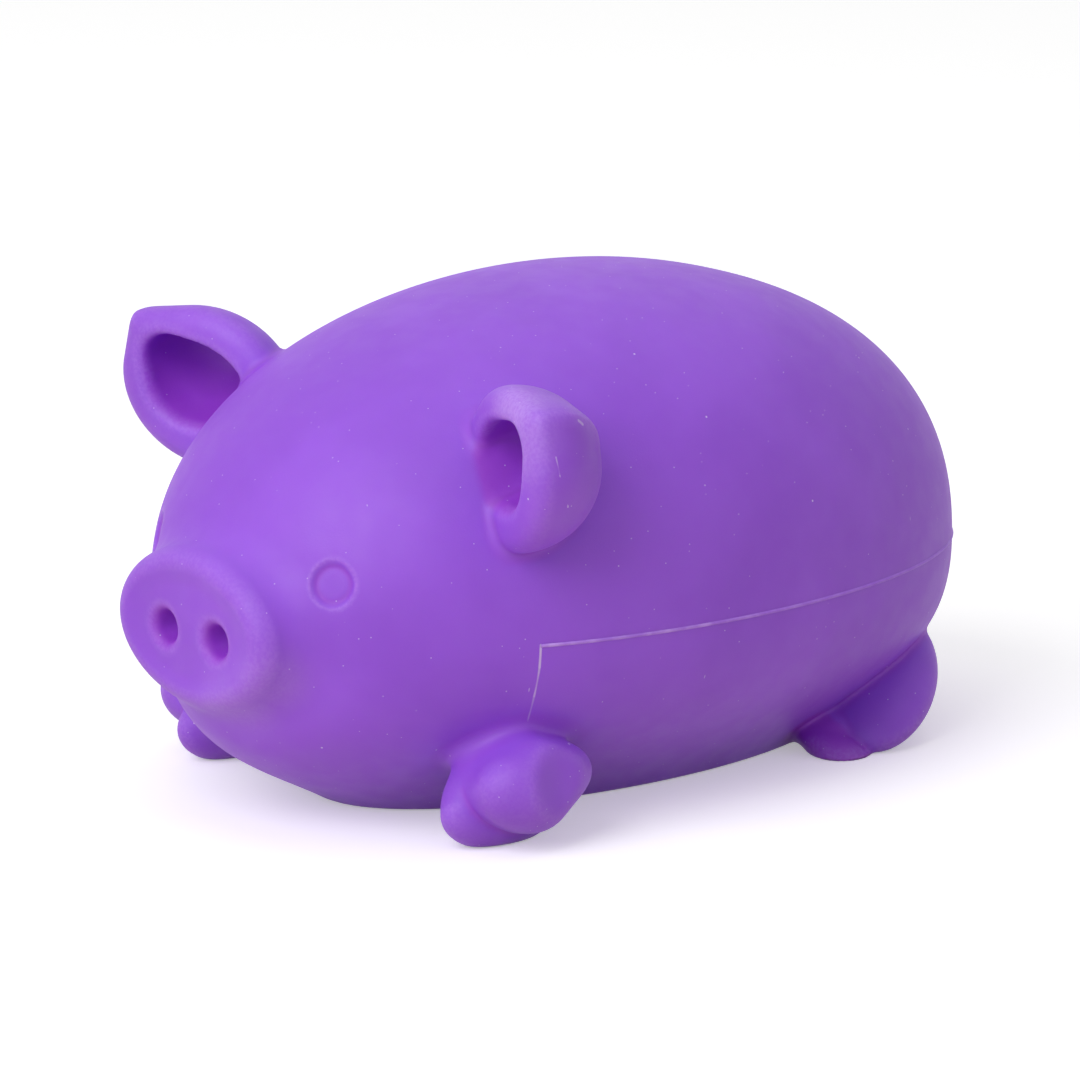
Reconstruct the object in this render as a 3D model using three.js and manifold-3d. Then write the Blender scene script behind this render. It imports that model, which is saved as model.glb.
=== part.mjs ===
// A squeeze toy in the shape of a pig: a rubber skin around a soft filling.
// Millimetres, +Z up. The pig looks along -Y and its left side is +X. It stands on z = 0.

import * as THREE from 'three';
import { mergeVertices } from 'three/addons/utils/BufferGeometryUtils.js';
import Module from 'manifold-3d';

const wasm = await Module();
wasm.setup();

// Driving sizes of the body, which is an egg lying on its side.
const bodyLength = 105;
const bodyWidth = 74;
const seamHeight = 24.2;
const backRise = 35.4;
const bellyDrop = 26.2;

// How each outline closes towards the ends (power of the sine) and leans front to back.
const widthPower = 0.87;
const widthLean = -0.02;
const backPower = 0.85;
const backLean = 0.025;
const bellyPower = 0.69;
const bellyLean = -0.124;
const backRoundness = 2.19;
const bellyRoundness = 2.14;

// Skin and the clearance that neighbouring pieces keep.
const skinWall = 2.6;
const fitGap = 0.3;

// Snout: a short oval disc with a rounded rim and two nostrils.
const snoutReach = 2.5;
const snoutWidth = 29;
const snoutHeight = 18.7;
const snoutLift = 0.3;
const snoutFlare = 1.22;
const snoutRimRadius = 1.6;
const snoutDishDepth = 0.5;
const snoutDishShoulder = 0.16;
const snoutFlarePower = 1.5;
const snoutDepth = 16;
const nostrilSpacing = 9.8;
const nostrilDrop = 0.5;
const nostrilWidth = 3.6;
const nostrilHeight = 5.4;
const nostrilDepth = 4.2;

// Eyes: a round groove pressed into the skin.
const eyeSpacing = 34;
const eyeHeight = 31.6;
const eyeRingRadius = 2.4;
const eyeGrooveRadius = 0.5;

// Ears: a cupped petal, open to the front, with its corner pointing out and up. The setback runs
// from the front end of the body.
const earSetback = 24.1;
const earRootAngle = 38.5;
const earStandoff = 5.2;
const earLength = 22.6;
const earDepth = 16.4;
const earHeight = 19.2;
const earLift = 14;
const earForward = 15;
const earTipLength = 3;
const earTipRise = 0.34;
const earTipSpread = 24;
const earHollowLength = 22;
const earHollowInward = 3.5;
const earHollowDepth = 19;
const earHollowHeight = 11.6;
const earHollowForward = 6.6;
const earHingeSink = 1;
const earHingeRadius = 9.5;

// Feet: the inner toe, the outer toe and the haunch over both. The front feet reach the ground
// and are cut flat there, the rear feet stay just clear of it. A setback runs from the body's end
// to the middle of the lobe, a standoff from the flank out to it, and ground is its lowest point.
const soleCut = 0.5;
const frontInnerSetback = 23.3;
const frontInnerLength = 17.6;
const frontInnerWidth = 8.4;
const frontInnerHeight = 9;
const frontInnerStandoff = 5.9;
const frontInnerGround = -soleCut;
const frontOuterSetback = 23.5;
const frontOuterLength = 17.2;
const frontOuterWidth = 10.8;
const frontOuterHeight = 12.6;
const frontOuterStandoff = 4.9;
const frontOuterGround = 2;
const frontHaunchSetback = 23.5;
const frontHaunchLength = 16.6;
const frontHaunchWidth = 16;
const frontHaunchHeight = 13;
const frontHaunchStandoff = 1;
const frontHaunchGround = 1;
const rearInnerSetback = 30.1;
const rearInnerLength = 15.6;
const rearInnerWidth = 7.6;
const rearInnerHeight = 10.4;
const rearInnerStandoff = 8.6;
const rearInnerGround = 0.4;
const rearOuterSetback = 28.1;
const rearOuterLength = 18.6;
const rearOuterWidth = 10.6;
const rearOuterHeight = 15.4;
const rearOuterStandoff = 3.2;
const rearOuterGround = 2.4;
const rearHaunchSetback = 28.5;
const rearHaunchLength = 16.4;
const rearHaunchWidth = 14;
const rearHaunchHeight = 14;
const rearHaunchStandoff = 2;
const rearHaunchGround = 2;

// Tail: one turn of a curl on the rear of the back.
const tailReach = 5.5;
const tailHeight = 29;
const tailCurlRadius = 2.7;
const tailRadius = 2.1;
const tailTipRadius = 1.4;
const tailTurns = 1.25;
const tailRootSink = 1.4;

// Filler hole in the belly and the plug that closes it.
const plugStation = 6;
const plugHoleRadius = 4.2;
const plugFlangeRadius = 6.4;
const plugFlangeThickness = 1;
const plugRecess = 0.3;

// Facets.
const bodyRings = 22;
const bodySides = 38;
const innerRings = 14;
const innerSides = 24;
const earSides = 18;
const earRings = 11;
const lobeSides = 14;
const lobeRings = 8;
const turnedSides = 24;
const hingeSides = 36;
const grooveSides = 5;
const grooveSteps = 14;
const snoutSteps = 3;
const tailSteps = 20;
const tailSides = 7;

// Fineness of the point search, of the slopes taken on a surface and of joining corners.
const halvings = 40;
const probe = 0.5;
const shareProbe = 0.01;
const weldDistance = 1e-4;

const halfLength = bodyLength / 2;
const far = 3 * bodyLength;
const snoutFrontY = -halfLength - snoutReach;
const tailEndY = halfLength + tailReach;

// Half-width, rise and drop of the egg at a station, given as a share u from -1 (front) to 1.
function sectionAt(u, inset) {
  const closing = Math.sqrt(Math.max(0, 1 - u * u));
  return {
    half: (bodyWidth / 2 - inset) * closing ** widthPower * (1 + widthLean * u),
    rise: (backRise - inset) * closing ** backPower * (1 + backLean * u),
    drop: (bellyDrop - inset) * closing ** bellyPower * (1 + bellyLean * u),
  };
}

// A point on the egg, with phi running round the section from the left flank over the back.
function eggPoint(u, phi, inset) {
  const { half, rise, drop } = sectionAt(u, inset);
  const c = Math.cos(phi);
  const s = Math.sin(phi);
  const above = s >= 0;
  const power = 2 / (above ? backRoundness : bellyRoundness);
  return new THREE.Vector3(
    half * Math.sign(c) * Math.abs(c) ** power,
    (halfLength - inset) * u,
    seamHeight + (above ? rise : drop) * Math.sign(s) * Math.abs(s) ** power,
  );
}

// Half-width of the egg at a station and a height.
function flankAt(y, z) {
  const { half, rise, drop } = sectionAt(y / halfLength, 0);
  const above = z >= seamHeight;
  const power = above ? backRoundness : bellyRoundness;
  const share = Math.min(1, Math.abs(z - seamHeight) / (above ? rise : drop));
  return half * (1 - share ** power) ** (1 / power);
}

// The point of the front half of the egg at a given side place and height.
function facePoint(x, z) {
  let front = -halfLength;
  let back = 0;
  for (let step = 0; step < halvings; step += 1) {
    const middle = (front + back) / 2;
    if (flankAt(middle, z) > Math.abs(x)) {
      back = middle;
    } else {
      front = middle;
    }
  }
  return new THREE.Vector3(x, back, z);
}

// A closed surface through rings of points, with a single point at each end.
function ringSurface(first, rings, last) {
  const sides = rings[0].length;
  const points = [first, ...rings.flat(), last];
  const index = [];
  const at = (ring, side) => 1 + ring * sides + (side % sides);
  for (let side = 0; side < sides; side += 1) {
    index.push(0, at(0, side + 1), at(0, side));
    for (let ring = 0; ring + 1 < rings.length; ring += 1) {
      const a = at(ring, side);
      const b = at(ring, side + 1);
      const c = at(ring + 1, side + 1);
      const d = at(ring + 1, side);
      index.push(a, b, c, a, c, d);
    }
    index.push(points.length - 1, at(rings.length - 1, side), at(rings.length - 1, side + 1));
  }
  const geometry = new THREE.BufferGeometry().setFromPoints(points);
  geometry.setIndex(index);
  return geometry;
}

function eggGeometry(inset, ringCount, sideCount) {
  const rings = [];
  for (let ring = 1; ring < ringCount; ring += 1) {
    const u = -Math.cos((Math.PI * ring) / ringCount);
    const points = [];
    for (let side = 0; side < sideCount; side += 1) {
      points.push(eggPoint(u, (-2 * Math.PI * side) / sideCount, inset));
    }
    rings.push(points);
  }
  return ringSurface(eggPoint(-1, 0, inset), rings, eggPoint(1, 0, inset));
}

// The mirror image of a shape in the plane of symmetry.
function mirrored(geometry) {
  const copy = geometry.clone().scale(-1, 1, 1);
  const index = copy.getIndex().array;
  for (let corner = 0; corner < index.length; corner += 3) {
    [index[corner], index[corner + 1]] = [index[corner + 1], index[corner]];
  }
  return copy;
}

function onSide(geometry, side) {
  return side > 0 ? geometry : mirrored(geometry);
}

// A solid for joining and cutting, from a closed shape.
function solid(geometry) {
  const bare = geometry.clone();
  bare.deleteAttribute('normal');
  bare.deleteAttribute('uv');
  const merged = mergeVertices(bare, weldDistance);
  return new wasm.Manifold(
    new wasm.Mesh({
      numProp: 3,
      vertProperties: new Float32Array(merged.getAttribute('position').array),
      triVerts: new Uint32Array(merged.getIndex().array),
    }),
  );
}

function slab(bottom, top) {
  const box = new THREE.BoxGeometry(far, far, top - bottom);
  return solid(box.translate(0, 0, (bottom + top) / 2));
}

function uprightCylinder(radius, bottom, top) {
  const cylinder = new THREE.CylinderGeometry(radius, radius, top - bottom, turnedSides);
  return solid(cylinder.rotateX(Math.PI / 2).translate(0, plugStation, (bottom + top) / 2));
}

function ellipsoid(length, width, height) {
  const ball = new THREE.SphereGeometry(0.5, lobeSides, lobeRings);
  return ball.rotateX(Math.PI / 2).scale(width, length, height);
}

const skinOuter = solid(eggGeometry(0, bodyRings, bodySides));
const skinClear = solid(eggGeometry(-fitGap, bodyRings, bodySides));
const aboveGround = slab(0, far);

// Ear, drawn for the left side. Its own axes: x out to the corner, y front to back, z up.
const earTurn = new THREE.Matrix4().makeRotationFromEuler(
  new THREE.Euler(
    0,
    THREE.MathUtils.degToRad(-earLift),
    THREE.MathUtils.degToRad(-earForward),
    'ZYX',
  ),
);
const earOutward = new THREE.Vector3(1, 0, 0).applyMatrix4(earTurn);
const earShare = (earSetback - halfLength) / halfLength;
const earRootPoint = eggPoint(earShare, THREE.MathUtils.degToRad(earRootAngle), 0);
const earCentre = earRootPoint.clone().addScaledVector(earOutward, earStandoff);
const earPlace = earTurn.clone().setPosition(earCentre);

// The cup's outside: an ellipsoid whose upper outer corner is drawn out to a rounded tip.
function earOutside() {
  const corner = new THREE.Vector3(1, 0, earTipRise).normalize();
  const ball = new THREE.SphereGeometry(1, earSides, earRings);
  const toCorner = new THREE.Quaternion().setFromUnitVectors(new THREE.Vector3(0, 1, 0), corner);
  ball.applyQuaternion(toCorner);
  const reach = new THREE.Vector3(earLength / 2, earDepth / 2, earHeight / 2);
  const tipWay = corner.clone().multiply(reach).setLength(earTipLength);
  const place = ball.getAttribute('position');
  const spread = THREE.MathUtils.degToRad(earTipSpread);
  for (let i = 0; i < place.count; i += 1) {
    const direction = new THREE.Vector3().fromBufferAttribute(place, i);
    const pull = Math.exp(-((direction.angleTo(corner) / spread) ** 2));
    direction.multiply(reach).addScaledVector(tipWay, pull);
    place.setXYZ(i, direction.x, direction.y, direction.z);
  }
  return ball;
}

// The hollow that opens the cup to the front.
function earHollow() {
  const ball = new THREE.SphereGeometry(0.5, lobeSides, lobeRings);
  ball.scale(earHollowLength, earHollowDepth, earHollowHeight);
  return ball.translate(-earHollowInward, -earHollowForward, 0);
}

// The round about which the ear flexes, along the root of the ear.
function earHinge(radius) {
  const round = new THREE.CylinderGeometry(radius, radius, 2 * earHeight, hingeSides);
  round.rotateX(Math.PI / 2);
  return round.translate(-earStandoff - earHingeSink, 0, 0);
}

function earPiece(side) {
  const place = (geometry) => solid(onSide(geometry.applyMatrix4(earPlace), side));
  return {
    whole: place(earOutside()).subtract(place(earHollow())),
    root: place(earHinge(earHingeRadius)),
    rootClear: place(earHinge(earHingeRadius + fitGap)),
  };
}

const ears = { left: earPiece(1), right: earPiece(-1) };

// The ear beyond its root, free of the skin.
function earBlade({ whole, rootClear }) {
  return whole.subtract(rootClear).subtract(skinClear);
}

// A groove round each eye, in the surface of the face.
function eyeGroove(side) {
  const middle = facePoint((side * eyeSpacing) / 2, eyeHeight);
  const across = facePoint(middle.x + probe, middle.z).sub(middle);
  const up = facePoint(middle.x, middle.z + probe).sub(middle);
  const outward = across.cross(up).normalize();
  const ring = new THREE.TorusGeometry(eyeRingRadius, eyeGrooveRadius, grooveSides, grooveSteps);
  const turn = new THREE.Quaternion().setFromUnitVectors(new THREE.Vector3(0, 0, 1), outward);
  ring.applyQuaternion(turn);
  return solid(ring.translate(middle.x, middle.y, middle.z));
}

// The snout as a turned profile, drawn out to an oval and laid along Y.
function snoutGeometry() {
  const profile = [new THREE.Vector2(0, snoutDishDepth)];
  const rim = 1 - snoutRimRadius / (snoutHeight / 2);
  profile.push(new THREE.Vector2(rim - snoutDishShoulder, snoutDishDepth));
  for (let step = 0; step <= snoutSteps; step += 1) {
    const angle = (Math.PI / 2) * (step / snoutSteps);
    const depth = snoutRimRadius * (1 - Math.cos(angle));
    profile.push(new THREE.Vector2(rim + (1 - rim) * Math.sin(angle), depth));
  }
  for (let step = 1; step <= snoutSteps; step += 1) {
    const share = step / snoutSteps;
    const depth = snoutRimRadius + (snoutDepth - snoutRimRadius) * share;
    profile.push(new THREE.Vector2(1 + (snoutFlare - 1) * share ** snoutFlarePower, depth));
  }
  profile.push(new THREE.Vector2(0, snoutDepth));
  const turned = new THREE.LatheGeometry(profile, turnedSides);
  turned.scale(snoutWidth / 2, 1, snoutHeight / 2);
  return turned.translate(0, snoutFrontY, seamHeight + snoutLift);
}

function nostril(side) {
  const ball = new THREE.SphereGeometry(0.5, lobeSides, lobeRings);
  ball.scale(nostrilWidth, 2 * nostrilDepth, nostrilHeight);
  const height = seamHeight + snoutLift - nostrilDrop;
  return solid(ball.translate((side * nostrilSpacing) / 2, snoutFrontY + snoutDishDepth, height));
}

function snoutSolid() {
  return solid(snoutGeometry()).subtract(skinClear).subtract(nostril(1)).subtract(nostril(-1));
}

function lobe(station, size, standoff, ground, side) {
  const [length, width, height] = size;
  const middle = ground + height / 2;
  const outward = flankAt(station, middle) + standoff;
  const ball = ellipsoid(length, width, height);
  return solid(onSide(ball.translate(outward, station, middle), side));
}

function footSolid(inner, outer, haunch) {
  return inner.add(outer).add(haunch).subtract(skinClear).intersect(aboveGround);
}

function frontFoot(side) {
  const innerSize = [frontInnerLength, frontInnerWidth, frontInnerHeight];
  const outerSize = [frontOuterLength, frontOuterWidth, frontOuterHeight];
  const haunchSize = [frontHaunchLength, frontHaunchWidth, frontHaunchHeight];
  const innerY = frontInnerSetback - halfLength;
  const outerY = frontOuterSetback - halfLength;
  const haunchY = frontHaunchSetback - halfLength;
  return footSolid(
    lobe(innerY, innerSize, frontInnerStandoff, frontInnerGround, side),
    lobe(outerY, outerSize, frontOuterStandoff, frontOuterGround, side),
    lobe(haunchY, haunchSize, frontHaunchStandoff, frontHaunchGround, side),
  );
}

function rearFoot(side) {
  const innerSize = [rearInnerLength, rearInnerWidth, rearInnerHeight];
  const outerSize = [rearOuterLength, rearOuterWidth, rearOuterHeight];
  const haunchSize = [rearHaunchLength, rearHaunchWidth, rearHaunchHeight];
  const innerY = halfLength - rearInnerSetback;
  const outerY = halfLength - rearOuterSetback;
  const haunchY = halfLength - rearHaunchSetback;
  return footSolid(
    lobe(innerY, innerSize, rearInnerStandoff, rearInnerGround, side),
    lobe(outerY, outerSize, rearOuterStandoff, rearOuterGround, side),
    lobe(haunchY, haunchSize, rearHaunchStandoff, rearHaunchGround, side),
  );
}

// The tail's middle line starts inside the skin, turns once and ends in a thin tip.
function tailGeometry() {
  const rings = [];
  const startY = halfLength - tailRootSink;
  const travel = tailEndY - tailTipRadius - startY;
  const middle = (share) => {
    const turn = 2 * Math.PI * tailTurns * share;
    const side = tailCurlRadius * Math.sin(turn);
    return new THREE.Vector3(side, startY + travel * share, -tailCurlRadius * Math.cos(turn));
  };
  for (let step = 0; step <= tailSteps; step += 1) {
    const share = step / tailSteps;
    const ahead = middle(Math.min(1, share + shareProbe));
    const along = ahead.sub(middle(Math.max(0, share - shareProbe))).normalize();
    const out = new THREE.Vector3(0, 1, 0).cross(along).normalize();
    const up = along.clone().cross(out);
    const radius = THREE.MathUtils.lerp(tailRadius, tailTipRadius, share);
    const ring = [];
    for (let side = 0; side < tailSides; side += 1) {
      const angle = (2 * Math.PI * side) / tailSides;
      const point = middle(share).addScaledVector(out, radius * Math.cos(angle));
      ring.push(point.addScaledVector(up, radius * Math.sin(angle)));
    }
    rings.push(ring);
  }
  return ringSurface(middle(0), rings, middle(1)).translate(0, 0, tailHeight);
}

// The two halves of the skin meet on the seam plane.
const room = solid(eggGeometry(skinWall, innerRings, innerSides)).intersect(slab(skinWall, far));
const overSeam = slab(seamHeight + fitGap / 2, far);
const underSeam = slab(0, seamHeight - fitGap / 2);

function backSkin() {
  const roots = [ears.left, ears.right].map((ear) => ear.whole.intersect(ear.root));
  const grooves = eyeGroove(1).add(eyeGroove(-1));
  const shell = skinOuter.add(roots[0]).add(roots[1]).subtract(room);
  return shell.subtract(grooves).intersect(overSeam);
}

function bellySkin() {
  const seatTop = plugRecess + plugFlangeThickness + fitGap;
  const flangeSeat = uprightCylinder(plugFlangeRadius + fitGap, -skinWall, seatTop);
  const hole = uprightCylinder(plugHoleRadius, -skinWall, 2 * skinWall);
  return skinOuter.subtract(room).subtract(flangeSeat).subtract(hole).intersect(underSeam);
}

function fillerPlug() {
  const flange = uprightCylinder(plugFlangeRadius, plugRecess, plugRecess + plugFlangeThickness);
  return flange.add(uprightCylinder(plugHoleRadius - fitGap, plugRecess, skinWall));
}

function softFilling() {
  const core = solid(eggGeometry(skinWall + fitGap, innerRings, innerSides));
  return core.intersect(slab(skinWall + fitGap, far));
}

const rubber = { color: 0x8a50d0, roughness: 0.55, metalness: 0 };
const dough = { color: 0xe6dcc8, roughness: 0.9, metalness: 0 };

function piece(name, body, finish) {
  const mesh = body.getMesh();
  const geometry = new THREE.BufferGeometry();
  geometry.setAttribute('position', new THREE.BufferAttribute(mesh.vertProperties, mesh.numProp));
  geometry.setIndex(new THREE.BufferAttribute(mesh.triVerts, 1));
  geometry.computeVertexNormals();
  const node = new THREE.Mesh(geometry, new THREE.MeshStandardMaterial(finish));
  node.name = name;
  return node;
}

// The origin lies under the middle of the whole toy, from the snout to the tail.
const pig = new THREE.Group();
pig.position.y = -(snoutFrontY + tailEndY) / 2;
pig.add(
  piece('back_skin', backSkin(), rubber),
  piece('belly_skin', bellySkin(), rubber),
  piece('snout', snoutSolid(), rubber),
  piece('ear_left', earBlade(ears.left), rubber),
  piece('ear_right', earBlade(ears.right), rubber),
  piece('front_left_foot', frontFoot(1), rubber),
  piece('front_right_foot', frontFoot(-1), rubber),
  piece('rear_left_foot', rearFoot(1), rubber),
  piece('rear_right_foot', rearFoot(-1), rubber),
  piece('tail', solid(tailGeometry()).subtract(skinClear), rubber),
  piece('soft_filling', softFilling(), dough),
  piece('filler_plug', fillerPlug(), rubber),
);

export default pig;
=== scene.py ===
# %% [markdown]
# # A pig squeeze toy in soft purple rubber
# The toy is one soft moulding: a fat egg for a body, with a snout, two cupped ears and four feet
# that grow out of it with no visible joint. The CAD solids say how large everything is and how it
# moves. This file gives them their looks.
# Lengths are in millimetres here, and become metres when a mesh is made.

import bpy
import numpy as np
from mathutils import Matrix, Vector


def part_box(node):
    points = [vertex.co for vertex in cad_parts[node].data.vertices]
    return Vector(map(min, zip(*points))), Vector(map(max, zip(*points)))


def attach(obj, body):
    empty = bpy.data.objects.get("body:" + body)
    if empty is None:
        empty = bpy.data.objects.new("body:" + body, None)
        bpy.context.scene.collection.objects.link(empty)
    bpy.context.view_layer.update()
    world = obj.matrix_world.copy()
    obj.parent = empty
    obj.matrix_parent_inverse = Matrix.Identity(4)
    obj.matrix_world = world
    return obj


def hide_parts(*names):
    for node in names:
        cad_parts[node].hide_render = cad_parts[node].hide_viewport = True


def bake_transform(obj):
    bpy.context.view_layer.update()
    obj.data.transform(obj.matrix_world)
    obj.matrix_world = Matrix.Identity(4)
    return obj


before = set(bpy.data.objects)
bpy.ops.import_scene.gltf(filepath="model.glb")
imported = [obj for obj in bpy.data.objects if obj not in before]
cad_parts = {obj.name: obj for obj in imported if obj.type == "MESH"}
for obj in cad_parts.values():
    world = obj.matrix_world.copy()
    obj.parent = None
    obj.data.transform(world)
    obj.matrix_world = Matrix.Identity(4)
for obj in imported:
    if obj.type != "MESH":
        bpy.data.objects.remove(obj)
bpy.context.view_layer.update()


def node_box(node):
    """Lowest and highest corner of a CAD node, in millimetres."""
    low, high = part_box(node)
    return np.array(low) * 1000, np.array(high) * 1000


# %% [markdown]
# ## The camera
# The photograph was taken from the pig's left front, a little above it, through a long lens, which
# keeps the near and the far side alike. Place and lens come from fitting the body's outline.

# %% The camera
EYE = Vector((635.2, -519.2, 219.3)) * 0.001
BACKWARD = Vector((0.75627, -0.61635, 0.21985))
ROLL = np.radians(-0.36)
SENSOR = 36.0
PICTURE = 1080
FOCAL_PIXELS = 6994.18
PRINCIPAL = (558.86, 474.29)

camera = bpy.data.objects.new("camera", bpy.data.cameras.new("camera"))
bpy.context.collection.objects.link(camera)
bpy.context.scene.camera = camera
camera.data.sensor_width = SENSOR
camera.data.lens = FOCAL_PIXELS * SENSOR / PICTURE
camera.data.shift_x = (PICTURE / 2 - PRINCIPAL[0]) / PICTURE
camera.data.shift_y = (PRINCIPAL[1] - PICTURE / 2) / PICTURE
camera.data.clip_start = 0.05
camera.data.clip_end = 20
camera.location = EYE
camera.rotation_mode = "QUATERNION"
roll_turn = Matrix.Rotation(ROLL, 3, "Z").to_quaternion()
camera.rotation_quaternion = (-BACKWARD).to_track_quat("-Z", "Y") @ roll_turn
print(f"lens {camera.data.lens:.1f} mm, {EYE.length * 1000:.0f} mm from the origin")

# %% [markdown]
# ## A surface from a field
# A moulding has soft fillets wherever forms meet. A distance field makes them for free: every form
# is a function that says how far a point is from its skin, and a smooth minimum of two such
# functions is a union with a fillet.

# %% Distances to simple forms
def ellipsoid(points, centre, axes, turn=None):
    """Distance to an ellipsoid, close to true near its skin."""
    local = points - np.asarray(centre)
    if turn is not None:
        local = local @ turn
    scaled = local / np.asarray(axes)
    near = np.linalg.norm(scaled, axis=-1)
    steep = np.linalg.norm(scaled / np.asarray(axes), axis=-1)
    return near * (near - 1) / np.maximum(steep, 1e-6)


def join(a, b, fillet):
    """Union of two fields with a fillet."""
    share = np.clip(0.5 + 0.5 * (b - a) / fillet, 0, 1)
    return b + (a - b) * share - fillet * share * (1 - share)


def cut(a, b, round_edge):
    """Field a without field b, with a rounded edge."""
    return -join(-a, b, round_edge)


print("from 15 mm out to a 10 mm ball:", ellipsoid(np.array([15.0, 0, 0]), 0, 10), "mm")


# %% [markdown]
# ## The body
# The body is an egg on its side. Its cross-sections are ovals a little squarer than ellipses, and
# they close towards the two ends. For a point, the code looks for the closing at which the
# cross-section's outline would pass through it, which makes the egg as smooth as a ball. Near the
# ground it sags outwards, as a full bag does on a table.

# %% The body's field
belly_low, belly_high = node_box("belly_skin")
back_low, back_high = node_box("back_skin")
BODY_HALF_LENGTH = (belly_high[1] - belly_low[1]) / 2
WIDTH_INSET = 0.2
BODY_HALF_WIDTH = (belly_high[0] - belly_low[0]) / 2 - WIDTH_INSET
BODY_MIDDLE_Y = (belly_high[1] + belly_low[1]) / 2
SEAM_HEIGHT = (belly_high[2] + back_low[2]) / 2
BACK_RISE = 35.48
BELLY_DROP = 22.07
WIDTH_POWER, WIDTH_LEAN = 0.84, -0.018
BACK_POWER, BACK_LEAN, BACK_ROUNDNESS = 0.861, 0.037, 2.27
BELLY_POWER, BELLY_LEAN, BELLY_ROUNDNESS = 0.326, 0.033, 2.16
SAG, SAG_HEIGHT = 4.51, 12
CLOSING_ROUNDS = 3


def egg(points):
    """Distance to the body, close to true near its skin."""
    x = np.maximum(np.abs(points[..., 0]), 1e-4)
    u = (points[..., 1] - BODY_MIDDLE_Y) / BODY_HALF_LENGTH
    z = points[..., 2] + SAG * np.clip(1 - points[..., 2] / SAG_HEIGHT, 0, 1) ** 2 - SEAM_HEIGHT
    above = z >= 0
    z = np.maximum(np.abs(z), 1e-4)
    lean = np.clip(u, -1, 1)
    tall = np.where(above, BACK_RISE * (1 + BACK_LEAN * lean), BELLY_DROP * (1 + BELLY_LEAN * lean))
    closing = np.where(above, BACK_POWER, BELLY_POWER)
    power = np.where(above, BACK_ROUNDNESS, BELLY_ROUNDNESS)
    a = x / (BODY_HALF_WIDTH * (1 + WIDTH_LEAN * lean))
    b = z / tall
    c = (a**power + b**power) ** (2 / (power * (WIDTH_POWER + closing)))
    for _ in range(CLOSING_ROUNDS):
        part_a = (a / c**WIDTH_POWER) ** power
        part_b = (b / c**closing) ** power
        total = part_a + part_b
        slope = WIDTH_POWER * part_a + closing * part_b
        c = c * total ** (total / (power * slope))
    radial = np.sqrt(c * c + u * u)
    grow = c * c / (slope * radial)
    steep = (grow * part_a / x) ** 2 + (grow * part_b / z) ** 2
    steep = np.sqrt(steep + (u / (BODY_HALF_LENGTH * radial)) ** 2)
    return (radial - 1) / np.maximum(steep, 0.01)


print(f"body {2 * BODY_HALF_LENGTH:.1f} mm long and {2 * BODY_HALF_WIDTH:.1f} mm wide")


# %% [markdown]
# ## The snout
# A pig's snout is a thick oval pad with a rolled rim. A cylinder with a bevel would do for it, but
# its root has to flow into the head. As a field, the oval widens towards the head, its front edge
# is rounded, and the fillet comes for free.

# %% The snout's field
snout_low, _ = node_box("snout")
SNOUT_FORWARD, SNOUT_ABOVE_SEAM = 1.0, 0.1
SNOUT_FRONT = snout_low[1] - SNOUT_FORWARD
SNOUT_HEIGHT_Z = SEAM_HEIGHT + SNOUT_ABOVE_SEAM
SNOUT_HALF_WIDTH = 14.5
SNOUT_HALF_HEIGHT = 9.35
SNOUT_FLARE, SNOUT_FLARE_POWER = 0.22, 1.5
SNOUT_FLARE_DEPTH = 16
SNOUT_RIM = 2.7
SNOUT_DISH, SNOUT_DISH_EDGE, SNOUT_DISH_FLAT = 0.6, 0.95, 0.55
SNOUT_FILLET = 3.2


def step_down(value, top, foot):
    """0 above the top, 1 below the foot, and a soft step between them."""
    share = np.clip((top - value) / (top - foot), 0, 1)
    return share * share * (3 - 2 * share)


def snout(points):
    """An oval that flares towards the head, with a shallow dish in front."""
    x = points[..., 0]
    depth = points[..., 1] - SNOUT_FRONT
    z = points[..., 2] - SNOUT_HEIGHT_Z
    flare = 1 + SNOUT_FLARE * (np.clip(depth, 0, None) / SNOUT_FLARE_DEPTH) ** SNOUT_FLARE_POWER
    half_width = SNOUT_HALF_WIDTH * flare
    half_height = SNOUT_HALF_HEIGHT * flare
    ring = np.sqrt((x / half_width) ** 2 + (z / half_height) ** 2)
    steep = np.sqrt((x / half_width**2) ** 2 + (z / half_height**2) ** 2) / np.maximum(ring, 1e-3)
    side = (ring - 1) / np.maximum(steep, 0.02)
    dish = SNOUT_DISH * step_down(ring, SNOUT_DISH_EDGE, SNOUT_DISH_FLAT)
    ends = np.maximum(dish - depth, depth - SNOUT_FLARE_DEPTH)
    q = np.stack([side + SNOUT_RIM, ends + SNOUT_RIM], axis=-1)
    outside = np.linalg.norm(np.maximum(q, 0), axis=-1)
    return outside + np.minimum(q.max(axis=-1), 0) - SNOUT_RIM


print(f"snout pad {2 * SNOUT_HALF_WIDTH:.1f} mm wide and {2 * SNOUT_HALF_HEIGHT:.1f} mm high")

# %% [markdown]
# ## The nostrils
# Two round holes go deep into the pad, with rounded edges where the mould's pins were. They are
# taken away from the finished pad with a rounded cut, so that no Boolean modifier is needed.

# %% The nostrils' field
NOSTRIL_X = 4.9
NOSTRIL_DROP = 0.5
NOSTRIL_Z = SNOUT_HEIGHT_Z - NOSTRIL_DROP
NOSTRIL_AXES = (2.1, 4.6, 2.0)


def nostril(points, side):
    """The pig's left nostril is side 1 and its right one side -1, as with all pairs below."""
    return ellipsoid(points, (side * NOSTRIL_X, SNOUT_FRONT, NOSTRIL_Z), NOSTRIL_AXES)


print(f"nostrils {2 * NOSTRIL_X:.1f} mm apart and {NOSTRIL_AXES[1]:.1f} mm deep")


# %% [markdown]
# ## The eyes
# Each eye is a round dent: a wide shallow dish, in it a short wall, and at its foot a flat disc.
# Painting a ring wouldn't catch the light. The dent is a depth that depends only on how far a
# point is from the eye's own axis, and the axis stands square on the head.

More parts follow.
